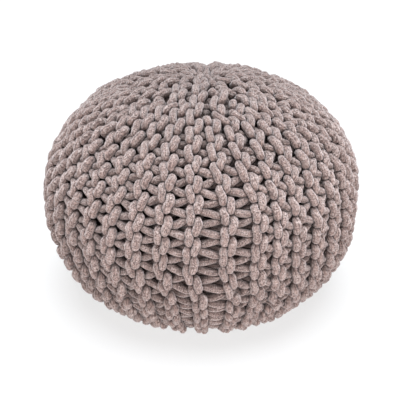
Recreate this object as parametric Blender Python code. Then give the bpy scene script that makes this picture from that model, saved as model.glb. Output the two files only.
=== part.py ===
"""A round knitted pouf: one filled cover, knitted sideways in garter stitch from a thick soft cord.

The rows run from the middle of the top, over the side, to the middle of the underside. Each pair of
rows makes one raised ridge, whose loops lean left and right in turn, with a valley of sunken cord
between it and the next one. The cover is made of equal wedges. In each wedge one ridge runs all the way
and the others are short rows that stop before the middle, so that the cover closes there.
Units are metres, +Z is up, and the floor is at z = 0.
"""

import math

import bmesh
import bpy
import numpy as np

# Overall size, over the tops of the stitches.
WIDTH = 0.508
HEIGHT = 0.3556

# The outline seen from the side: two superellipse quarters that meet at the belly.
BELLY_HEIGHT = 0.159
TOP_SQUARENESS = 2.15
LOW_SQUARENESS = 2.22
LOW_DEPTH = 0.212  # how far the lower quarter would reach below the belly if no floor pressed it flat
FLOOR_ROUNDING = 0.008  # half the height over which the outline turns into the flat underside
DIMPLE_DEPTH = 0.008  # where the cover is gathered in the middle of the top
DIMPLE_RADIUS = 0.026
UNEVENNESS = 0.002  # how far the filling pushes the cover out of round, on two opposite sides
UNEVEN_TURN = 0.6  # radians by which those two sides are turned
SWAY = 0.0034  # how far the rings above and below the belly have settled towards +X
SWAY_REACH = 0.05  # arc length from the belly over which they do
OUTLINE_STEPS = 600  # in each quarter

# The knitting.
CORD = 0.0102
STITCH = 0.0286  # length of one stitch along its row
WEDGES = 7
WEDGE_ENDS = (0.018, 0.135, 0.075, 0.100, 0.046, 0.120)  # distance from the axis at which each ridge ends
RIDGES = WEDGES * len(WEDGE_ENDS)
TAPER = 1.2 * STITCH  # length over which a short ridge gives its width to its neighbours

# The relief of the solid, as depths below the tops of the stitches.
VALLEY_DEPTH = 1.0 * CORD
LEAN_DEPTH = 0.5 * CORD  # of a loop on the side of the ridge that the stitch leans away from
LOOP_PLACES = (0.28, 0.72)  # across a ridge's width, where its left and right loops are highest
FULL_RELIEF_WIDTH = 0.022  # a ridge narrower than this has a shallower valley
LEAST_SHARE = 0.05  # a ridge with less than this share of its width has ended

COVER_COLOUR = (0.47, 0.38, 0.36, 1.0)
COVER_ROUGHNESS = 0.95


def clear_scene():
    for obj in list(bpy.data.objects):
        bpy.data.objects.remove(obj, do_unlink=True)


def pressed(z):
    """Height above the floor of a point that would hang at z, with a soft turn onto the floor."""
    if z >= FLOOR_ROUNDING:
        return z
    if z <= -FLOOR_ROUNDING:
        return 0.0
    return (z + FLOOR_ROUNDING) ** 2 / (4 * FLOOR_ROUNDING)


def outline():
    """The side outline as arrays: arc length from the middle of the top, radius, height."""
    points = []
    for i in range(OUTLINE_STEPS + 1):
        angle = math.pi / 2 * (1 - i / OUTLINE_STEPS)
        r = WIDTH / 2 * math.cos(angle) ** (2 / TOP_SQUARENESS)
        z = BELLY_HEIGHT + (HEIGHT - BELLY_HEIGHT) * math.sin(angle) ** (2 / TOP_SQUARENESS)
        points.append((r, z - DIMPLE_DEPTH * math.exp(-((r / DIMPLE_RADIUS) ** 2))))
    for i in range(1, OUTLINE_STEPS + 1):
        angle = math.pi / 2 * i / OUTLINE_STEPS
        r = WIDTH / 2 * max(math.cos(angle), 0.0) ** (2 / LOW_SQUARENESS)
        z = BELLY_HEIGHT - LOW_DEPTH * math.sin(angle) ** (2 / LOW_SQUARENESS)
        points.append((r, pressed(z)))
    r, z = np.array(points).T
    arc = np.concatenate([[0.0], np.cumsum(np.hypot(np.diff(r), np.diff(z)))])
    return arc, r, z


ARC, RADIUS, LEVEL = outline()
BELLY = int(np.argmax(RADIUS))


def arc_on_top(radius):
    return float(np.interp(radius, RADIUS[: BELLY + 1], ARC[: BELLY + 1]))


def arc_below(radius):
    return float(np.interp(-radius, -RADIUS[BELLY:], ARC[BELLY:]))


def place(arc, turn, depth):
    """The point at that arc length from the top, at that turn about Z, that far below the outline."""
    step = 0.002
    r0, r, r1 = np.interp([arc - step, arc, arc + step], ARC, RADIUS)
    z0, z, z1 = np.interp([arc - step, arc, arc + step], ARC, LEVEL)
    length = math.hypot(r1 - r0, z1 - z0)
    out_r, out_z = (z0 - z1) / length, (r1 - r0) / length
    bulge = UNEVENNESS * math.sin(2 * turn + UNEVEN_TURN) * math.sin(math.pi * arc / ARC[-1]) ** 2
    r += (bulge - depth) * out_r
    sway = SWAY * (1 - math.exp(-(((arc - ARC[BELLY]) / SWAY_REACH) ** 2)))
    return r * math.sin(turn) + sway, -r * math.cos(turn), max(z - depth * out_z, 0.0)


def smooth(x):
    x = min(max(x, 0.0), 1.0)
    return x * x * (3 - 2 * x)


def share(ridge, arc):
    """How much of a full ridge's width this ridge has there: 1 along it, 0 past its ends."""
    end = WEDGE_ENDS[ridge % len(WEDGE_ENDS)]
    if end == min(WEDGE_ENDS):
        return 1.0
    return smooth((arc - arc_on_top(end)) / TAPER + 0.5) * smooth((arc_below(end) - arc) / TAPER + 0.5)


def ring(arc, leans_right):
    """One ring of points: for each ridge, its valley (0), its left loop (1) and its right loop (2).

    The result is {(ridge, column): point}. A ridge that has ended has no points of its own.
    """
    shares = [share(ridge, arc) for ridge in range(RIDGES)]
    radius = float(np.interp(arc, ARC, RADIUS))
    left_depth = LEAN_DEPTH if leans_right else 0.0
    right_depth = 0.0 if leans_right else LEAN_DEPTH
    points = {}
    turn = 0.0
    for ridge, part in enumerate(shares):
        width = 2 * math.pi * part / sum(shares)
        if part > LEAST_SHARE:
            relief = smooth(width * radius / FULL_RELIEF_WIDTH)
            points[ridge, 0] = place(arc, turn, VALLEY_DEPTH * relief)
            points[ridge, 1] = place(arc, turn + width * LOOP_PLACES[0], left_depth * relief)
            points[ridge, 2] = place(arc, turn + width * LOOP_PLACES[1], right_depth * relief)
        turn += width
    return points


def ring_verts(bm, points):
    """The ring's vertices, one for each column of each ridge; an ended ridge uses the next valley."""
    made = {key: bm.verts.new(point) for key, point in points.items()}
    verts = []
    for ridge in range(RIDGES):
        following = ridge
        while (following % RIDGES, 0) not in made:
            following += 1
        for column in range(3):
            verts.append(made.get((ridge, column), made[following % RIDGES, 0]))
    return verts


def without_repeats(verts):
    return list(dict.fromkeys(verts))


def build_cover():
    """The whole cover with its filling, as one closed solid with a flat underside."""
    first = arc_on_top(min(WEDGE_ENDS))
    last = float(ARC[np.argmax(LEVEL <= 0.0)])
    half_stitches = round(2 * (last - first) / STITCH)
    bm = bmesh.new()
    rings = []
    for i in range(half_stitches + 1):
        points = ring(first + (last - first) * i / half_stitches, i % 2 == 0)
        if i == half_stitches:
            points = {key: (x, y, 0.0) for key, (x, y, z) in points.items()}
        rings.append(ring_verts(bm, points))
    for upper, lower in zip(rings, rings[1:]):
        for j in range(len(upper)):
            after = (j + 1) % len(upper)
            corners = without_repeats((upper[j], lower[j], lower[after], upper[after]))
            if len(corners) > 2:
                bm.faces.new(corners)
    gather = bm.verts.new((SWAY, 0.0, float(LEVEL[0])))
    rim = without_repeats(rings[0])
    for a, b in zip(rim, rim[1:] + rim[:1]):
        bm.faces.new((gather, a, b))
    bmesh.ops.triangulate(bm, faces=bm.faces[:])
    bm.faces.new(without_repeats(rings[-1])[::-1])
    mesh = bpy.data.meshes.new("knitted_pouf")
    bm.to_mesh(mesh)
    bm.free()
    return mesh


def centre_and_fit(mesh):
    """Centres the mesh on the Z axis and brings it to the exact overall size."""
    co = np.empty(len(mesh.vertices) * 3)
    mesh.vertices.foreach_get("co", co)
    co = co.reshape(-1, 3)
    low, high = co.min(axis=0), co.max(axis=0)
    size = np.array([WIDTH, WIDTH, HEIGHT])
    co = (co - (low + high) / 2) * size / (high - low)
    co[:, 2] += HEIGHT / 2
    mesh.vertices.foreach_set("co", co.ravel())
    mesh.update()


def cover_material():
    material = bpy.data.materials.new("cotton_cord")
    material.use_nodes = True
    shader = material.node_tree.nodes["Principled BSDF"]
    shader.inputs["Base Color"].default_value = COVER_COLOUR
    shader.inputs["Roughness"].default_value = COVER_ROUGHNESS
    shader.inputs["Metallic"].default_value = 0.0
    return material


def main():
    clear_scene()
    mesh = build_cover()
    centre_and_fit(mesh)
    mesh.materials.append(cover_material())
    mesh.shade_smooth()
    pouf = bpy.data.objects.new("knitted_pouf", mesh)
    bpy.context.scene.collection.objects.link(pouf)


main()
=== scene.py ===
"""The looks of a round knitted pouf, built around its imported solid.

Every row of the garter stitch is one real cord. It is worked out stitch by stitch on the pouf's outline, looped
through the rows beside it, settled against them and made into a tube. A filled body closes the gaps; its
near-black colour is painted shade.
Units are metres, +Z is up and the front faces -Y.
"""

import math
from types import SimpleNamespace

import bpy
import numpy as np
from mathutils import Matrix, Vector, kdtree


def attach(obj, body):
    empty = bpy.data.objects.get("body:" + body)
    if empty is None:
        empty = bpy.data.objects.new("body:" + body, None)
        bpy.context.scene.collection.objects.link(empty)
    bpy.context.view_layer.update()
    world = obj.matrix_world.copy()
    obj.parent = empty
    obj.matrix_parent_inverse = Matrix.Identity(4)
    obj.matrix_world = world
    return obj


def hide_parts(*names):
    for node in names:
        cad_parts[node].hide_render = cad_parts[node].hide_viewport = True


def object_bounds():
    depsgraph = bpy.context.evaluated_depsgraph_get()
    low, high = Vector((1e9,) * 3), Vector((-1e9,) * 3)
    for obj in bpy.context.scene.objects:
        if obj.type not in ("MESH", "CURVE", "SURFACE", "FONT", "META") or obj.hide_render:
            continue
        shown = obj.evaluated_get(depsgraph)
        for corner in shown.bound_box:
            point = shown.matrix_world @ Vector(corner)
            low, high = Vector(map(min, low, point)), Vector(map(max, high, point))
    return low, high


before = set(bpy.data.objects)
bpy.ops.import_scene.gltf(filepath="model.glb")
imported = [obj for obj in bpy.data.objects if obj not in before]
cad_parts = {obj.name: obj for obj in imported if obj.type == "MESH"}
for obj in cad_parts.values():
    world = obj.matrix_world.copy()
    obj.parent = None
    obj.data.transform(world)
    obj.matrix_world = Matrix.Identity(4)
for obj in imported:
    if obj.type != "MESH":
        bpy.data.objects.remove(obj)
CAD_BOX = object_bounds()

SEED = 20
rng = np.random.default_rng(SEED)

# ---------------------------------------------------------------- sizes, as in the part's source
WIDTH = CAD_BOX[1].x - CAD_BOX[0].x
HEIGHT = CAD_BOX[1].z - CAD_BOX[0].z

# The outline seen from the side: two superellipse quarters that meet at the belly.
BELLY_HEIGHT = 0.159
TOP_SQUARENESS = 2.15
LOW_SQUARENESS = 2.22
LOW_DEPTH = 0.212  # how far the lower quarter would reach below the belly if no floor pressed it flat
FLOOR_ROUNDING = 0.008  # half the height over which the outline turns into the flat underside
DIMPLE_DEPTH = 0.008  # where the cover is gathered in the middle of the top
DIMPLE_RADIUS = 0.026
UNEVENNESS = 0.002  # how far the filling pushes the cover out of round, on two opposite sides
UNEVEN_TURN = 0.6  # radians by which those two sides are turned
SWAY = 0.0034  # how far the rings above and below the belly have settled towards +X
SWAY_REACH = 0.05  # arc length from the belly over which they do
OUTLINE_STEPS = 600  # in each quarter

CORD = 0.0102  # the cord's thickness
WEDGES = 7
WEDGE_ENDS = (0.018, 0.135, 0.075, 0.100, 0.046, 0.120)  # distance from the axis at which each ridge ends
RIDGES = WEDGES * len(WEDGE_ENDS)
TAPER = 0.034  # arc length over which a short ridge gives its width to its neighbours


# ---------------------------------------------------------------- the outline
def smooth(x):
    x = np.clip(x, 0.0, 1.0)
    return x * x * (3 - 2 * x)


def ramp(x, start, length):
    """0 up to start and 1 from start + length on, with a smooth change between them."""
    return smooth((x - start) / length)


def pressed(z):
    """Height above the floor of points that would hang at z, with a soft turn onto the floor."""
    turning = (z + FLOOR_ROUNDING) ** 2 / (4 * FLOOR_ROUNDING)
    return np.where(z >= FLOOR_ROUNDING, z, np.where(z <= -FLOOR_ROUNDING, 0.0, turning))


def outline():
    """The side outline as arrays: arc length from the middle of the top, radius, height."""
    above = np.linspace(math.pi / 2, 0.0, OUTLINE_STEPS + 1)
    top_r = WIDTH / 2 * np.clip(np.cos(above), 0, 1) ** (2 / TOP_SQUARENESS)
    top_z = BELLY_HEIGHT + (HEIGHT - BELLY_HEIGHT) * np.sin(above) ** (2 / TOP_SQUARENESS)
    top_z -= DIMPLE_DEPTH * np.exp(-((top_r / DIMPLE_RADIUS) ** 2))
    below = np.linspace(0.0, math.pi / 2, OUTLINE_STEPS + 1)[1:]
    low_r = WIDTH / 2 * np.clip(np.cos(below), 0, 1) ** (2 / LOW_SQUARENESS)
    low_z = pressed(BELLY_HEIGHT - LOW_DEPTH * np.sin(below) ** (2 / LOW_SQUARENESS))
    r = np.concatenate([top_r, low_r])
    z = np.concatenate([top_z, low_z])
    arc = np.concatenate([[0.0], np.cumsum(np.hypot(np.diff(r), np.diff(z)))])
    return arc, r, z


ARC, RADIUS, LEVEL = outline()
BELLY = int(np.argmax(RADIUS))


def arc_on_top(radius):
    return float(np.interp(radius, RADIUS[: BELLY + 1], ARC[: BELLY + 1]))


def arc_below(radius):
    return float(np.interp(-radius, -RADIUS[BELLY:], ARC[BELLY:]))


# ---------------------------------------------------------------- where the ridges and stitches are
STITCH = 0.0286  # length of a stitch along its row, on the side
TOP_STRETCH = 0.25  # how much longer the stitches are in the middle of the top
TOP_REACH = 0.15  # arc length from the middle of the top over which that fades
ALIGNED_AT = 0.2452  # arc length from the top at which every row has the middle of a loop
FIRST_RIDGE_TURN = math.radians(-3.2)  # of the ridge nearest the front

# Where two changes down the cover start, as arc lengths from the middle of the top, and their lengths.
ONTO_SIDE = 0.20, 0.08
LOW_DOWN = 0.36, 0.06
FRONT_SPREAD = 0.11, 0.035  # share by which the ridges are wider at the front, on the top and on the side
PARTING = math.radians(3.6)  # how far two ridges are pushed to the right of their even places
PARTING_AT = math.radians(13), math.radians(7)  # on the side, and low down
PARTING_REACH = math.radians(12)
DRIFT = math.radians(1.3)  # of all ridges to the right, low down


def count_stitches():
    """Stitches along a row from the aligned loop, at each point of the outline."""
    pitch = STITCH * (1 + TOP_STRETCH * np.exp(-((ARC / TOP_REACH) ** 2)))
    middle = (pitch[1:] + pitch[:-1]) / 2
    count = np.concatenate([[0.0], np.cumsum(np.diff(ARC) / middle)])
    return count - np.interp(ALIGNED_AT, ARC, count)


COUNT = count_stitches()


def ridge_ends(ridge):
    end = WEDGE_ENDS[ridge % len(WEDGE_ENDS)]
    return arc_on_top(end), arc_below(end)


def share(ridge):
    """How much of a full ridge's width this ridge has at each point of the outline."""
    if WEDGE_ENDS[ridge % len(WEDGE_ENDS)] == min(WEDGE_ENDS):
        return np.ones_like(ARC)
    first, last = ridge_ends(ridge)
    return smooth((ARC - first) / TAPER + 0.5) * smooth((last - ARC) / TAPER + 0.5)


def uneven(turns):
    """Those turns, spread out and pushed aside as the filling does it, at each point of the outline."""
    on_side = ramp(ARC, *ONTO_SIDE)
    low_down = ramp(ARC, *LOW_DOWN)
    spread = FRONT_SPREAD[0] * (1 - on_side) + FRONT_SPREAD[1] * on_side
    parting_at = PARTING_AT[0] + (PARTING_AT[1] - PARTING_AT[0]) * low_down
    from_parting = (turns - parting_at + math.pi) % (2 * math.pi) - math.pi
    parting = PARTING * on_side * np.exp(-((from_parting / PARTING_REACH) ** 2))
    return turns + spread * np.sin(turns) + parting + DRIFT * low_down


def ridge_turns():
    """Turn about Z of each ridge's middle, and of the middles of the ridges before and after it.

    Where the next ridge has ended, the one beyond it is the neighbour, with a smooth change between the two.
    """
    shares = np.array([share(ridge) for ridge in range(RIDGES)])
    widths = 2 * math.pi * shares / shares.sum(axis=0)
    edges = np.cumsum(widths, axis=0)
    middles = edges - widths / 2
    middles += FIRST_RIDGE_TURN - middles[0]
    three_rounds = np.concatenate([middles - 2 * math.pi, middles, middles + 2 * math.pi])
    before, after = np.empty_like(middles), np.empty_like(middles)
    furthest = len(WEDGE_ENDS)
    for ridge in range(RIDGES):
        for neighbours, way in ((before, -1), (after, 1)):
            neighbour = three_rounds[RIDGES + ridge + way * furthest]
            for step in range(furthest - 1, 0, -1):
                there = shares[(ridge + way * step) % RIDGES]
                nearer = three_rounds[RIDGES + ridge + way * step]
                neighbour = nearer * there + neighbour * (1 - there)
            neighbours[ridge] = neighbour
    return [uneven(turns) for turns in (middles, before, after)]


MIDDLES, BEFORE, AFTER = ridge_turns()


# ---------------------------------------------------------------- places on the uneven cover
class Waves:
    """A smooth random field over the cover, from -1 to 1 or so, that closes around it."""

    def __init__(self, count, most_around, most_along):
        self.around = rng.integers(1, most_around + 1, count)
        self.along = rng.uniform(-most_along, most_along, count)
        self.phase = rng.uniform(0, 2 * math.pi, count)

    def __call__(self, turn, arc):
        total = 0.0
        for around, along, phase in zip(self.around, self.along, self.phase):
            total = total + np.sin(around * turn + 2 * math.pi * along * arc / ARC[-1] + phase)
        return total / math.sqrt(len(self.around) / 2)


SLIDE = Waves(14, 16, 9)  # along the rows
VEER = Waves(12, 7, 4)  # across the rows
LUMP = Waves(16, 22, 12)  # in and out
SLIDE_SIZE = 0.0015  # how far they move the cords
VEER_SIZE = 0.0011
LUMP_SIZE = 0.0011
WAVES_FADE = 0.08  # distance from the axis within which the waves along and across the rows fade
LEAST_RADIUS = 0.01  # so that no wave turns a row far near the axis
PROUD = 0.0006  # how far the cords stand out of the outline
TOP_SETTLES = 0.0015  # how much less they do in the middle of the top
SLOPE_STEP = 0.002  # arc length to each side over which the outline's slope is taken
FOLD_DEPTH = 0.010  # of the fold that runs from the gather to the back
FOLD_X = 0.010  # how far to the right it lies
FOLD_WIDTH = 0.008  # half the fold's width
FOLD_REACH = 0.17  # arc length over which it runs
FOLD_START = 0.3  # cosine of the turn at which it starts to deepen towards the back


def fold(turn, arc, radius):
    """How deep the fold at the back of the top is there."""
    behind = smooth(FOLD_START - np.cos(turn))
    across = (radius * np.sin(turn) - FOLD_X) / FOLD_WIDTH
    return FOLD_DEPTH * behind * np.exp(-(across**2) - (arc / FOLD_REACH) ** 4)


def place(turn, arc, sunk):
    """Points on the pouf at that turn and arc length, that far (metres) below the tops of the stitches."""
    radius = np.interp(arc, ARC, RADIUS)
    fade = smooth(radius / WAVES_FADE)
    turn = turn + VEER_SIZE * fade * VEER(turn, arc) / np.maximum(radius, LEAST_RADIUS)
    arc = arc + SLIDE_SIZE * fade * SLIDE(turn, arc)
    r0, r, r1 = (np.interp(arc + step, ARC, RADIUS) for step in (-SLOPE_STEP, 0, SLOPE_STEP))
    z0, z, z1 = (np.interp(arc + step, ARC, LEVEL) for step in (-SLOPE_STEP, 0, SLOPE_STEP))
    length = np.hypot(r1 - r0, z1 - z0)
    out_r, out_z = (z0 - z1) / length, (r1 - r0) / length
    bulge = UNEVENNESS * np.sin(2 * turn + UNEVEN_TURN) * np.sin(math.pi * arc / ARC[-1]) ** 2
    lump = LUMP_SIZE * LUMP(turn, arc) + PROUD - TOP_SETTLES * np.exp(-((arc / TOP_REACH) ** 2))
    lump = lump - fold(turn, arc, r)
    r = r + (bulge + lump - sunk) * out_r
    z = z + (lump - sunk) * out_z
    sway = SWAY * (1 - np.exp(-(((arc - ARC[BELLY]) / SWAY_REACH) ** 2)))
    return np.stack([r * np.sin(turn) + sway, -r * np.cos(turn), z], axis=-1)


# ---------------------------------------------------------------- the stitches
# Each table is one half of a stitch, from the middle of its sinker to the middle of its head. Its columns are
# across: distance from the middle of a ridge, in cords
# ridge: which ridge that is, 0 for the row's own
# along: in stitches from the head's middle
# sunk: depth of the cord's middle below the ridge's, in cords
# thick: share of the cord's thickness
# steps: points made up to the next line
ALONG, SUNK, STEPS = 2, 3, 5  # the numbers of those columns

# The row whose sinkers show on its ridge's left, and whose heads lie deep beside the next ridge.
SINKERS_IN_FRONT = (
    (-0.46, 0, -0.50, 0.00, 1.04, 3),
    (-0.42, 0, -0.29, 0.06, 1.02, 3),
    (-0.14, 0, -0.18, 0.36, 0.86, 2),
    (+0.32, 0, -0.11, 0.88, 0.86, 1),
    (+0.95, 0, -0.11, 0.86, 1.02, 2),
    (+0.00, 0.5, -0.25, 0.76, 1.05, 2),
    (-0.98, 1, -0.40, 0.84, 1.02, 2),
    (-0.50, 1, -0.32, 1.45, 0.88, 1),
    (-0.40, 1, +0.00, 1.80, 0.90, 0),
)
# The row whose heads show on its ridge's right, and whose sinkers lie deep beside the ridge before.
HEADS_IN_FRONT = (
    (+0.80, -1, -0.50, 1.70, 0.90, 1),
    (+1.00, -1, -0.32, 1.60, 0.90, 1),
    (+0.00, -0.5, -0.26, 1.42, 0.98, 2),
    (-0.98, 0, -0.26, 1.25, 0.92, 2),
    (-0.42, 0, -0.23, 0.92, 0.84, 2),
    (+0.04, 0, -0.24, 0.44, 0.86, 2),
    (+0.36, 0, -0.215, 0.12, 1.04, 3),
    (+0.48, 0, -0.11, 0.00, 1.08, 3),
    (+0.48, 0, +0.00, 0.00, 1.08, 0),
)
FRONT_REACH = 0.8  # cords from the middle of its ridge within which a row is in front

# How far the loops in front tilt, in cords to the right per stitch downwards.
SINKER_TILT = 0.34
HEAD_TILT = -0.38
TILT_CHANGE = (1.5, 0.3)  # how many times as far they tilt on the top, and below
TILT_CHANGE_AT = (0.20, 0.34)  # arc lengths from the middle of the top between which that changes

# The share by which the loops in front are longer than in the tables.
LONGER_ON_TOP = 0.28
LONGER_ON_SIDE = 0.12
LONGER_BELOW = -0.10
OFF_TOP = 0.15, 0.08  # start and length of the change from the top to the side
TO_BELOW = 0.35, 0.08  # and from the side to below

# How the cords lie over each other.
ROLL = 0.35  # cords per stitch by which a loop on the top has its upper end out and its lower end tucked in
ROOF = 0.30  # sideways per length outwards: how far the two loops of a ridge lean together, like a roof
ROOF_DEPTH = 0.3  # cords; the parts of a loop that lie less deep than this lean so
ROOF_ACROSS = 0.46  # cords from the middle of the ridge at which they lean by that much
HALF_RIDGE = 1.1  # cords from the middle of a ridge to its valley
LEAN = 0.16  # stitches by which the valley's loops lie lower than the ridge's
OVERLAP = 0.06  # cords by which the falling legs lie over the rising ones
DEEPER_ON_TOP = 0.4  # cords by which the valley's loops lie deeper on the top
DEEPER_FROM = 0.45, 0.4  # start and length of that change, in half ridges from the middle of a ridge
FULL_RIDGE = 2.15  # cords; where the ridges are nearer to each other, they squeeze the stitches

# Random unevenness from stitch to stitch and point to point, in the units of the tables.
ALONG_JITTER = 0.02
ACROSS_JITTER = 0.05
SUNK_JITTER = 0.06
SUNK_ROUGHNESS = 0.5  # share of that by which the points of one stitch differ
THICK_JITTER = 0.03

# A row's two ends are tucked away under the stitches.
END_DEPTH = 3.0  # cords
END_REACH = 0.1  # stitches past its first and its last loop
END_STEPS = 3  # points made up from the end to the first loop


def whole_stitch(half):
    """A full stitch's lines, from sinker to sinker, from those of its first half."""
    lines = np.array(half, dtype=float)
    back = lines[-2::-1].copy()
    back[:, ALONG] *= -1
    lines[-1, STEPS] = lines[-2, STEPS]
    back[:-1, STEPS] = lines[-3::-1, STEPS]
    return np.concatenate([lines, back[:-1]])


def row_controls(ridge, half, tilt):
    """The points that one row's cord runs through, and how many points to make up after each.

    A point has the columns of the tables up to thick, and then the share of ROOF by which the cord leans there.
    """
    stitch = whole_stitch(half)
    low, high = np.interp(ridge_ends(ridge), ARC, COUNT)
    heads = np.arange(math.ceil(low), math.floor(high) + 1)
    across, which, in_stitch, sunk, thick, steps = np.tile(stitch, (len(heads), 1)).T
    along = in_stitch + np.repeat(heads, len(stitch))
    in_front = (which == 0) & (np.abs(across) < FRONT_REACH)
    head_in_front = in_front[len(half) - 1]
    from_middle = in_stitch if head_in_front else (in_stitch + 1) % 1 - 0.5
    down_loop = np.where(in_front, from_middle, 0.0)
    roof = np.where(in_front & (sunk < ROOF_DEPTH), -across / ROOF_ACROSS, 0.0)

    on_top = np.interp(along, COUNT, 1 - ramp(ARC, *OFF_TOP))
    below = np.interp(along, COUNT, ramp(ARC, *TO_BELOW))
    tilts = tilt * np.interp(along, COUNT, np.interp(ARC, TILT_CHANGE_AT, TILT_CHANGE))
    across = across + tilts * down_loop
    longer = LONGER_ON_TOP * on_top + LONGER_ON_SIDE * (1 - on_top - below) + LONGER_BELOW * below
    along = along + longer * down_loop
    from_own = np.abs(2 * which + across / HALF_RIDGE)
    from_next = np.abs(2 * which - 2 + across / HALF_RIDGE)
    from_ridge = np.minimum(from_own, from_next)
    in_valley = smooth(from_ridge)
    along = along + LEAN * in_valley
    sunk = sunk + OVERLAP * in_valley * np.where(in_stitch < 0, 1, -1)
    sunk = sunk + DEEPER_ON_TOP * ramp(from_ridge, *DEEPER_FROM) * on_top
    sunk = sunk + ROLL * on_top * down_loop

    each_stitch = np.repeat(rng.normal(0, 1, (3, len(heads))), len(stitch), axis=1)
    each_point = rng.normal(0, 1, (3, len(along)))
    along = along + ALONG_JITTER * each_point[0]
    across = across + ACROSS_JITTER * (each_point[1] + each_stitch[0])
    sunk = sunk + SUNK_JITTER * (SUNK_ROUGHNESS * each_point[2] + each_stitch[1])
    thick = thick * (1 + THICK_JITTER * each_stitch[2])

    controls = np.stack([across, which, along, sunk, thick, roof], axis=-1)
    start, stop = controls[0].copy(), controls[-1].copy()
    start[SUNK] = stop[SUNK] = END_DEPTH
    start[ALONG] -= END_REACH
    stop[ALONG] += END_REACH
    return np.concatenate([[start], controls, [stop]]), np.concatenate([[END_STEPS], steps]).astype(int)


def through(points, steps):
    """Catmull-Rom curve through points, made up of that many steps from each point to the next."""
    spans = np.repeat(np.arange(len(steps)), steps)
    t = np.concatenate([np.arange(count) / count for count in steps])[:, None]
    p0, p1, p2, p3 = (points[np.clip(spans + d, 0, len(points) - 1)] for d in (-1, 0, 1, 2))
    return 0.5 * (
        2 * p1
        + (p2 - p0) * t
        + (2 * p0 - 5 * p1 + 4 * p2 - p3) * t**2
        + (3 * p1 - p0 - 3 * p2 + p3) * t**3
    )


def make_row(ridge, half, tilt):
    """One row's cord, as arrays along its middle line.

    path is that line, radius half the cord's width, depth how far it lies below the tops of the stitches, in
    cords, outward the way out of the cover, and standing the way in which the cord is taller than wide.
    """
    across, which, along, sunk, thick, roof = through(*row_controls(ridge, half, tilt)).T
    arc = np.interp(along, COUNT, ARC)
    radius = np.interp(arc, ARC, RADIUS)
    middle, before, after = (np.interp(arc, ARC, turns[ridge]) for turns in (MIDDLES, BEFORE, AFTER))
    to_neighbour = np.where(which >= 0, after - middle, middle - before)
    squeeze = np.minimum(1.0, to_neighbour * radius / (FULL_RIDGE * CORD))
    turn = middle + which * to_neighbour + across * CORD * squeeze / radius
    outward = place(turn, arc, 0.0) - place(turn, arc, 1.0)  # a metre apart, so that its length is 1
    sideways = np.stack([np.cos(turn), np.sin(turn), np.zeros_like(turn)], axis=-1)
    standing = outward + ROOF * roof[:, None] * sideways
    standing /= np.linalg.norm(standing, axis=1)[:, None]
    depth = sunk + 0.5  # a cord on the ridge has its middle half a cord below its top
    return SimpleNamespace(
        path=place(turn, arc, depth * CORD),
        radius=thick * CORD / 2,
        depth=depth,
        outward=outward,
        standing=standing,
    )


def joined(parts, field):
    return np.concatenate([getattr(part, field) for part in parts])


def row_numbers(rows):
    return np.concatenate([np.full(len(row.path), number) for number, row in enumerate(rows)])


def split_by_row(values, rows):
    return np.split(values, np.cumsum([len(row.path) for row in rows])[:-1])


# ---------------------------------------------------------------- tubes
SIDES = 8
ANGLES = 2 * math.pi * np.arange(SIDES) / SIDES  # of a tube's sides around its middle line
STANDING = 1.22  # how much taller than wide the cord is, pressed from the side by its neighbours


def directions_around(path):
    """For each point of a path, a direction for each side of its tube, without a twist along it."""
    tangents = np.gradient(path, axis=0)
    tangents /= np.linalg.norm(tangents, axis=1)[:, None]
    normals = np.empty_like(path)
    side = np.cross(tangents[0], [0.0, 0.0, 1.0])
    normals[0] = side / np.linalg.norm(side)
    for i in range(1, len(path)):
        side = normals[i - 1] - tangents[i] * (normals[i - 1] @ tangents[i])
        normals[i] = side / math.sqrt(side @ side)
    others = np.cross(tangents, normals)
    along_normals = normals[:, None] * np.cos(ANGLES)[None, :, None]
    return along_normals + others[:, None] * np.sin(ANGLES)[None, :, None]


def make_tube(row):
    """A row's cord as a tube: its vertices and faces, and for each vertex what the cord's material reads.

    space is its place on the same cord laid straight, depth how far it lies below the tops of the stitches, in
    cords, and rise how far it faces outwards, from -1 to 1.
    """
    ring = directions_around(row.path)
    rise = np.einsum("ijk,ik->ij", ring, row.outward)
    stretch = (STANDING - 1) * np.einsum("ijk,ik->ij", ring, row.standing)
    ring = ring + stretch[:, :, None] * row.standing[:, None]
    i = np.arange(len(row.path) - 1)[:, None] * SIDES
    j = np.arange(SIDES)[None, :]
    k = (j + 1) % SIDES
    length = np.concatenate([[0.0], np.cumsum(np.linalg.norm(np.diff(row.path, axis=0), axis=1))])
    space = np.empty(ring.shape)
    space[:, :, 0] = CORD / 2 * np.cos(ANGLES)
    space[:, :, 1] = CORD / 2 * np.sin(ANGLES)
    space[:, :, 2] = length[:, None]
    height = np.einsum("ijk,ik->ij", ring, row.outward) * row.radius[:, None] / CORD
    return SimpleNamespace(
        verts=(row.path[:, None] + ring * row.radius[:, None, None]).reshape(-1, 3),
        faces=np.stack([i + j, i + k, i + SIDES + k, i + SIDES + j], axis=-1).reshape(-1, 4),
        space=space.reshape(-1, 3),
        depth=(row.depth[:, None] - height).ravel(),
        rise=rise.ravel(),
    )


# ---------------------------------------------------------------- cords that touch
SETTLING_ROUNDS = 10
CLOSEST = 0.92  # of their thickness: how near two cords' middle lines may come
LEAST_DISTANCE = 0.001  # between two middle lines, to divide by
SAME_BEND = 1.6  # cords along one row within which its points don't push each other
PUSHED_OUT = 0.4  # share of a push outwards that the cord gives way to, for the ones above hold it in
WIDEST_GAP = 1.0  # cords; a wider gap counts as this
GAP_REACH = 1.5  # cords between the middle lines of two cords whose gap is measured


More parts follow.
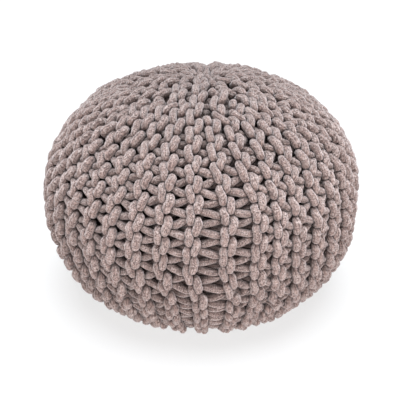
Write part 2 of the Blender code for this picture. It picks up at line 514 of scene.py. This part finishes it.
def touching(points, reach, row, length):
    """Pairs of points of different stretches of cord that are within reach of each other.

    row is the number of the row that a point is on, and length its place along all the rows.
    """
    tree = kdtree.KDTree(len(points))
    for i, point in enumerate(points):
        tree.insert(point, i)
    tree.balance()
    first, second = [], []
    for i, point in enumerate(points):
        for _, j, _ in tree.find_range(point, reach):
            if j > i:
                first.append(i)
                second.append(j)
    first, second = np.array(first), np.array(second)
    apart = (row[first] != row[second]) | (np.abs(length[first] - length[second]) > SAME_BEND * CORD)
    return first[apart], second[apart]


def settle(rows):
    """Pushes the cords apart where they would run through each other."""
    points, radii = joined(rows, "path"), joined(rows, "radius")
    outward, standing = joined(rows, "outward"), joined(rows, "standing")
    row = row_numbers(rows)
    lengths = np.linalg.norm(np.diff(points, axis=0, prepend=points[:1]), axis=1)
    first, second = touching(points, 2 * radii.max(), row, np.cumsum(lengths))
    upright = standing[first] + standing[second]
    upright /= np.linalg.norm(upright, axis=1)[:, None]
    inner = (row[1:-1] == row[:-2]) & (row[1:-1] == row[2:])
    moved = np.zeros_like(points)
    for _ in range(SETTLING_ROUNDS):
        between_them = points[second] + moved[second] - points[first] - moved[first]
        # The cords are taller than wide, so a distance upright counts for less.
        tall = np.einsum("ij,ij->i", between_them, upright) * (1 - 1 / STANDING)
        between_them -= tall[:, None] * upright
        distance = np.linalg.norm(between_them, axis=1)
        overlap = np.maximum((radii[first] + radii[second]) * CLOSEST - distance, 0.0)
        push = between_them * (overlap / np.maximum(distance, LEAST_DISTANCE) / 2)[:, None]
        total = np.zeros_like(points)
        np.add.at(total, first, -push)
        np.add.at(total, second, push)
        contacts = np.bincount(first, overlap > 0, len(points)) + np.bincount(second, overlap > 0, len(points))
        total /= np.maximum(contacts, 1)[:, None]
        # What is pushed outwards is held in.
        out = np.maximum(np.einsum("ij,ij->i", total, outward), 0.0)
        total -= outward * (out * (1 - PUSHED_OUT))[:, None]
        moved += total
        # A cord bends smoothly.
        smoothed = (moved[:-2] + 2 * moved[1:-1] + moved[2:]) / 4
        moved[1:-1] = np.where(inner[:, None], smoothed, moved[1:-1])
    points += moved
    points[:, 2] = np.maximum(points[:, 2], radii * STANDING)
    for settled, path in zip(rows, split_by_row(points, rows)):
        settled.path = path


def measure_gaps(rows, tubes):
    """Keeps in each tube how far its vertices are from the next stretch of cord, in cords."""
    points, radii, standing = joined(rows, "path"), joined(rows, "radius"), joined(rows, "standing")
    tangents = np.concatenate([np.gradient(row.path, axis=0) for row in rows])
    spacing = np.linalg.norm(tangents, axis=1)
    tangents /= spacing[:, None]
    first, second = touching(points, GAP_REACH * CORD, row_numbers(rows), np.cumsum(spacing))
    rings = joined(tubes, "verts").reshape(-1, SIDES, 3)
    widest = np.full((len(points), SIDES), WIDEST_GAP * CORD)
    for mine, other in ((first, second), (second, first)):
        apart = rings[mine] - points[other][:, None]
        # The other cord is straight for half a step each way, and taller than wide.
        half_step = spacing[other][:, None] / 2
        along = np.einsum("ijk,ik->ij", apart, tangents[other])
        apart -= np.clip(along, -half_step, half_step)[:, :, None] * tangents[other][:, None]
        tall = np.einsum("ijk,ik->ij", apart, standing[other]) * (1 - 1 / STANDING)
        apart -= tall[:, :, None] * standing[other][:, None]
        gap = np.linalg.norm(apart, axis=2) - radii[other][:, None]
        np.minimum.at(widest, mine, gap)
    for tube, gap in zip(tubes, split_by_row(widest, rows)):
        tube.gap = gap.ravel() / CORD


def all_tubes():
    """Every row's tube, in order around the pouf."""
    rows = []
    for ridge in range(RIDGES):
        rows.append(make_row(ridge, HEADS_IN_FRONT, HEAD_TILT))
        rows.append(make_row(ridge, SINKERS_IN_FRONT, SINKER_TILT))
    settle(rows)
    tubes = [make_tube(row) for row in rows]
    measure_gaps(rows, tubes)
    return tubes


# ---------------------------------------------------------------- pieces
def mesh_object(name, verts, faces, material):
    """A smooth object with those vertices and faces."""
    mesh = bpy.data.meshes.new(name)
    mesh.vertices.add(len(verts))
    mesh.vertices.foreach_set("co", np.asarray(verts, dtype=np.float32).ravel())
    sizes = np.array([len(f) for f in faces])
    mesh.loops.add(int(sizes.sum()))
    mesh.loops.foreach_set("vertex_index", np.concatenate([np.asarray(f) for f in faces]).astype(np.int32))
    mesh.polygons.add(len(faces))
    mesh.polygons.foreach_set("loop_start", np.concatenate([[0], np.cumsum(sizes)[:-1]]).astype(np.int32))
    mesh.polygons.foreach_set("use_smooth", np.ones(len(faces), dtype=bool))
    mesh.update(calc_edges=True)
    mesh.validate()
    mesh.materials.append(material)
    obj = bpy.data.objects.new(name, mesh)
    bpy.context.scene.collection.objects.link(obj)
    return obj


def add_attribute(piece, name, kind, field, values):
    attribute = piece.data.attributes.new(name, kind, "POINT")
    attribute.data.foreach_set(field, values.astype(np.float32).ravel())


ROW_OFFSET = 7.3  # metres along the cord between rows, so that no two look alike


def knit_wedge(number, tubes, material):
    """One wedge's rows as one piece."""
    faces, start = [], 0
    for count, tube in enumerate(tubes):
        tube.space[:, 2] += ROW_OFFSET * count
        faces.append(tube.faces + start)
        start += len(tube.verts)
    piece = mesh_object(f"knit_wedge_{number + 1}", joined(tubes, "verts"), np.concatenate(faces), material)
    add_attribute(piece, "cord_space", "FLOAT_VECTOR", "vector", joined(tubes, "space"))
    add_attribute(piece, "cord_depth", "FLOAT", "value", joined(tubes, "depth"))
    add_attribute(piece, "cord_faces_out", "FLOAT", "value", joined(tubes, "rise"))
    add_attribute(piece, "cord_gap", "FLOAT", "value", joined(tubes, "gap"))
    return piece


BODY_DEPTH = 0.026  # of the filling's cover below the tops of the stitches
BODY_ENDS = 0.004  # arc length from the middle of the top, and of the underside, to its first ring
BODY_RINGS = 60
BODY_SIDES = 96


def filled_body(material):
    """The filling inside the knitted cover, as one closed piece, coloured near-black as painted shade in the
    gaps.
    """
    arcs = np.linspace(BODY_ENDS, ARC[-1] - BODY_ENDS, BODY_RINGS)
    turns = np.linspace(0, 2 * math.pi, BODY_SIDES, endpoint=False)
    grid = place(np.tile(turns, (BODY_RINGS, 1)), np.repeat(arcs[:, None], BODY_SIDES, axis=1), BODY_DEPTH)
    faces = []
    for upper in range(0, (BODY_RINGS - 1) * BODY_SIDES, BODY_SIDES):
        lower = upper + BODY_SIDES
        for j in range(BODY_SIDES):
            k = (j + 1) % BODY_SIDES
            faces.append((upper + j, lower + j, lower + k, upper + k))
    last = (BODY_RINGS - 1) * BODY_SIDES
    faces.append(tuple(range(BODY_SIDES)))
    faces.append(tuple(reversed(range(last, last + BODY_SIDES))))
    return mesh_object("pouf_body", grid.reshape(-1, 3), faces, material)


# ---------------------------------------------------------------- materials
CORD_RIBS = 9  # columns of fine stitches around the cord
FINE_STITCH = 0.0028  # length of one of them
ARCH_HEIGHT = 0.35  # of the small arches across each rib
GROOVE_DEPTH = 0.7  # between the ribs
GROOVE_SHARPNESS = 3.0
FIBRE = 0.0012  # size of one fleck of the heathered yarn
FIBRE_STRETCH = (1, 1, 0.7)  # the flecks are longer along the cord
PALE_FLECKS = 0.35, 1.0, 0.0, 0.52  # from these chances of a fleck to these shares of the pale fibre
DARK_FLECKS = 0.32, 1.0, 0.0, 0.90
CLUMP_SCALE = 90  # of the slow change between the yarn's two colours
CLUMP_EDGES = 0.3, 0.7
TAUPE = (0.345, 0.243, 0.217, 1)
GREIGE = (0.415, 0.302, 0.273, 1)
PALE_FIBRE = (0.680, 0.590, 0.560, 1)
DARK_FIBRE = (0.130, 0.088, 0.080, 1)
FINE_SHADE = 0.44, 0.92  # how strongly the grooves of the cord's own knitting are painted darker as shade, and the share kept where it is flat
DEEP_SHADE = 0.52  # share of its colour that the cord keeps deep in the knit, as painted shade
DEEP = 0.25, 1.50  # cords below the tops of the stitches between which it goes down to that
SIDE_SHADE = 0.66  # share that it keeps where it turns away from the light into the gaps
TURNED_IN = -0.90, -0.15  # how far it faces outwards between which it comes back from that
TOUCH_SHADE = 0.34  # share of its colour that it keeps where it touches the next cord, as painted shade in the crease
TOUCHES = -0.02, 0.14  # cords from the next one between which it comes back from that
HAIR_SCALE = 900  # of the noise that stands for stray hairs
HAIR_HEIGHT = 1.6  # beside that of the fine stitches
RELIEF_STRENGTH = 0.9
RELIEF_HEIGHT = 0.0006
CORD_FINISH = {
    "Roughness": 0.92,
    "Specular IOR Level": 0.15,
    "Sheen Weight": 0.70,
    "Sheen Roughness": 0.45,
    "Sheen Tint": (1.0, 0.90, 0.89, 1),
}
BODY_FINISH = {
    # near-black: painted shade in the gaps between the cords
    "Base Color": (0.065, 0.048, 0.044, 1),
    "Roughness": 1.0,
}


def new_material(name, finish):
    """A material with those values on its shader's own sockets."""
    material = bpy.data.materials.new(name)
    material.use_nodes = True
    shader = material.node_tree.nodes["Principled BSDF"]
    for socket, value in finish.items():
        shader.inputs[socket].default_value = value
    return material


def node(tree, kind, inputs=(), **settings):
    """A new shader node; inputs maps socket names or numbers to values or to other nodes' outputs."""
    made = tree.nodes.new(kind)
    for key, value in settings.items():
        setattr(made, key, value)
    for key, value in dict(inputs).items():
        if isinstance(value, bpy.types.NodeSocket):
            tree.links.new(value, made.inputs[key])
        else:
            made.inputs[key].default_value = value
    return made


def math_node(tree, operation, *values):
    return node(tree, "ShaderNodeMath", enumerate(values), operation=operation).outputs[0]


def vector_node(tree, operation, first, second):
    inputs = {0: first, 1: second}
    return node(tree, "ShaderNodeVectorMath", inputs, operation=operation).outputs[0]


def mix_colours(tree, share, first, second):
    return node(tree, "ShaderNodeMix", {0: share, 6: first, 7: second}, data_type="RGBA").outputs[2]


def between(tree, value, low, high, to_low=0.0, to_high=1.0):
    """value carried smoothly from low..high to to_low..to_high."""
    inputs = {0: value, 1: low, 2: high, 3: to_low, 4: to_high}
    return node(tree, "ShaderNodeMapRange", inputs, interpolation_type="SMOOTHSTEP").outputs[0]


def noise(tree, vector, scale, detail, roughness, shift):
    inputs = {
        "Vector": vector_node(tree, "ADD", vector, (shift, shift, shift)),
        "Scale": scale,
        "Detail": detail,
        "Roughness": roughness,
    }
    return node(tree, "ShaderNodeTexNoise", inputs).outputs["Fac"]


def attribute(tree, name, output="Fac"):
    return node(tree, "ShaderNodeAttribute", attribute_name=name).outputs[output]


def fine_stitches(tree, space):
    """The height of the cord's own fine stitches: ribs along it, and small arches across each rib."""
    x, y, along = node(tree, "ShaderNodeSeparateXYZ", {0: space}).outputs
    turn = math_node(tree, "MULTIPLY", math_node(tree, "ARCTAN2", y, x), CORD_RIBS / (2 * math.pi))
    across_rib = math_node(tree, "PINGPONG", turn, 0.5)
    along_rib = math_node(tree, "MULTIPLY_ADD", along, 1 / FINE_STITCH, across_rib)
    arches = math_node(tree, "COSINE", math_node(tree, "MULTIPLY", along_rib, 2 * math.pi))
    grooves = math_node(tree, "POWER", math_node(tree, "MULTIPLY", across_rib, 2.0), GROOVE_SHARPNESS)
    sunk_grooves = math_node(tree, "MULTIPLY", grooves, -GROOVE_DEPTH)
    return math_node(tree, "MULTIPLY_ADD", arches, ARCH_HEIGHT, sunk_grooves)


def yarn_colour(tree, space, stretched):
    """Two near colours that change slowly along the cord, with pale and dark flecks of fibre."""
    slow_change = noise(tree, space, scale=CLUMP_SCALE, detail=2, roughness=0.5, shift=5.7)
    clumps = between(tree, slow_change, *CLUMP_EDGES)
    flecks = node(tree, "ShaderNodeTexVoronoi", {"Vector": stretched, "Scale": 1 / FIBRE}, feature="F1")
    chance = node(tree, "ShaderNodeSeparateXYZ", {0: flecks.outputs["Color"]}).outputs
    colour = mix_colours(tree, clumps, TAUPE, GREIGE)
    colour = mix_colours(tree, between(tree, chance[0], *PALE_FLECKS), colour, PALE_FIBRE)
    return mix_colours(tree, between(tree, chance[1], *DARK_FLECKS), colour, DARK_FIBRE)


def painted_cord_shade(tree, fine):
    """The painted shade on the cord's colour: in the grooves of its own knitting, deep in the knit, where it
    turns in and where it touches the next cord.
    """
    depth = between(tree, attribute(tree, "cord_depth"), *DEEP, 1.0, DEEP_SHADE)
    side = between(tree, attribute(tree, "cord_faces_out"), *TURNED_IN, SIDE_SHADE, 1.0)
    touch = between(tree, attribute(tree, "cord_gap"), *TOUCHES, TOUCH_SHADE, 1.0)
    shade = math_node(tree, "MULTIPLY_ADD", fine, *FINE_SHADE)
    for part in (depth, side, touch):
        shade = math_node(tree, "MULTIPLY", shade, part)
    return shade


def cord_material():
    """Soft cotton cord, itself finely knitted, in heathered taupe with pale and dark fibres."""
    material = new_material("heathered_cotton_cord", CORD_FINISH)
    tree = material.node_tree
    space = attribute(tree, "cord_space", "Vector")
    stretched = vector_node(tree, "MULTIPLY", space, FIBRE_STRETCH)
    fine = fine_stitches(tree, space)
    # the yarn's colour darkened by painted shade
    colour = vector_node(tree, "MULTIPLY", yarn_colour(tree, space, stretched), painted_cord_shade(tree, fine))
    hairs = noise(tree, stretched, scale=HAIR_SCALE, detail=3, roughness=0.7, shift=8.3)
    height = math_node(tree, "MULTIPLY_ADD", hairs, HAIR_HEIGHT, fine)
    relief = {"Strength": RELIEF_STRENGTH, "Distance": RELIEF_HEIGHT, "Height": height}
    shader = tree.nodes["Principled BSDF"]
    tree.links.new(colour, shader.inputs["Base Color"])
    tree.links.new(node(tree, "ShaderNodeBump", relief).outputs[0], shader.inputs["Normal"])
    return material


# ---------------------------------------------------------------- camera
PHOTO_SIDE = 416
FOCAL_PIXELS = 646
SENSOR = 36.0
BELLY_SHOWS_AT = (199.7, 186.6)  # pixels, where the middle of the pouf at its belly's height shows
CAMERA_DISTANCE = 1.0744  # from there
CAMERA_ELEVATION = math.radians(25)
CLIPPING = 0.05, 50.0


def make_camera():
    data = bpy.data.cameras.new("camera")
    data.sensor_width = SENSOR
    data.lens = FOCAL_PIXELS / PHOTO_SIDE * SENSOR
    data.shift_x = (PHOTO_SIDE / 2 - BELLY_SHOWS_AT[0]) / PHOTO_SIDE
    data.shift_y = (BELLY_SHOWS_AT[1] - PHOTO_SIDE / 2) / PHOTO_SIDE
    data.clip_start, data.clip_end = CLIPPING
    camera = bpy.data.objects.new("camera", data)
    back, up = math.cos(CAMERA_ELEVATION), math.sin(CAMERA_ELEVATION)
    camera.location = (0, -CAMERA_DISTANCE * back, BELLY_HEIGHT + CAMERA_DISTANCE * up)
    camera.rotation_euler = (math.pi / 2 - CAMERA_ELEVATION, 0, 0)
    bpy.context.scene.collection.objects.link(camera)
    bpy.context.scene.camera = camera


# ---------------------------------------------------------------- floor and lights
FLOOR_SIDE = 40
FLOOR_FINISH = {
    "Base Color": (0.18, 0.175, 0.173, 1),
    "Roughness": 0.9,
    "Emission Color": (1, 1, 1, 1),
    "Emission Strength": 0.735,  # so that it is white where no shadow falls
}
WORLD_LIGHT = 0.23
WORLD_COLOUR = (0.95, 1.0, 1.04, 1)
SUN_LIGHT = 5.3
SUN_COLOUR = (0.93, 1.0, 1.05)
SUN_SOFTNESS = math.radians(45)
SUN_TILT = math.radians(2)  # from straight above
SUN_TURN = math.radians(90)  # from the front to the right
FILL_LIGHTS = 6  # low soft boxes all around, tilted up
FILL_WATTS = 0.42
FILL_FRONT = 15.5  # how many times as much again the ones in front give
FILL_TURN = math.radians(8)  # from the front, where they are strongest
FILL_SIDE = 0.6
FILL_DISTANCE = 1.0
FILL_HEIGHT = 0.20
FILL_TILT = math.radians(20)
FILL_COLOUR = (1.0, 0.94, 0.93)


def add_floor():
    bpy.ops.mesh.primitive_plane_add(size=FLOOR_SIDE)
    floor = bpy.context.object
    floor.name = "floor"
    floor.data.materials.append(new_material("pale_floor", FLOOR_FINISH))


def add_light(name, kind, energy, colour, location, rotation):
    """Adds a light and returns its data."""
    data = bpy.data.lights.new(name, kind)
    data.energy = energy
    data.color = colour
    light = bpy.data.objects.new(name, data)
    light.location = location
    light.rotation_euler = rotation
    bpy.context.scene.collection.objects.link(light)
    return data


def add_fill_light(number):
    turn = 2 * math.pi * (number + 0.5) / FILL_LIGHTS
    watts = FILL_WATTS * (1 + FILL_FRONT * max(math.cos(turn - FILL_TURN), 0.0) ** 2)
    location = (FILL_DISTANCE * math.sin(turn), -FILL_DISTANCE * math.cos(turn), FILL_HEIGHT)
    rotation = (math.pi / 2 + FILL_TILT, 0, turn)
    box = add_light(f"fill_{number + 1}", "AREA", watts, FILL_COLOUR, location, rotation)
    box.size = FILL_SIDE


def make_studio():
    add_floor()
    world = bpy.data.worlds.new("studio")
    world.use_nodes = True
    background = world.node_tree.nodes["Background"]
    background.inputs["Color"].default_value = WORLD_COLOUR
    background.inputs["Strength"].default_value = WORLD_LIGHT
    bpy.context.scene.world = world
    sun = add_light("key", "SUN", SUN_LIGHT, SUN_COLOUR, (0, 0, 0), (SUN_TILT, 0, SUN_TURN))
    sun.angle = SUN_SOFTNESS
    for number in range(FILL_LIGHTS):
        add_fill_light(number)
    bpy.context.scene.view_settings.view_transform = "Standard"


# ---------------------------------------------------------------- the pouf
def make_pouf():
    knitted = cord_material()
    tubes = all_tubes()
    in_wedge = len(tubes) // WEDGES
    for number in range(WEDGES):
        wedge = knit_wedge(number, tubes[number * in_wedge : (number + 1) * in_wedge], knitted)
        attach(wedge, "root")
        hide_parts("knitted_pouf")
    body = filled_body(new_material("inner_cloth_in_painted_shade", BODY_FINISH))
    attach(body, "root")


make_camera()
make_studio()
make_pouf()
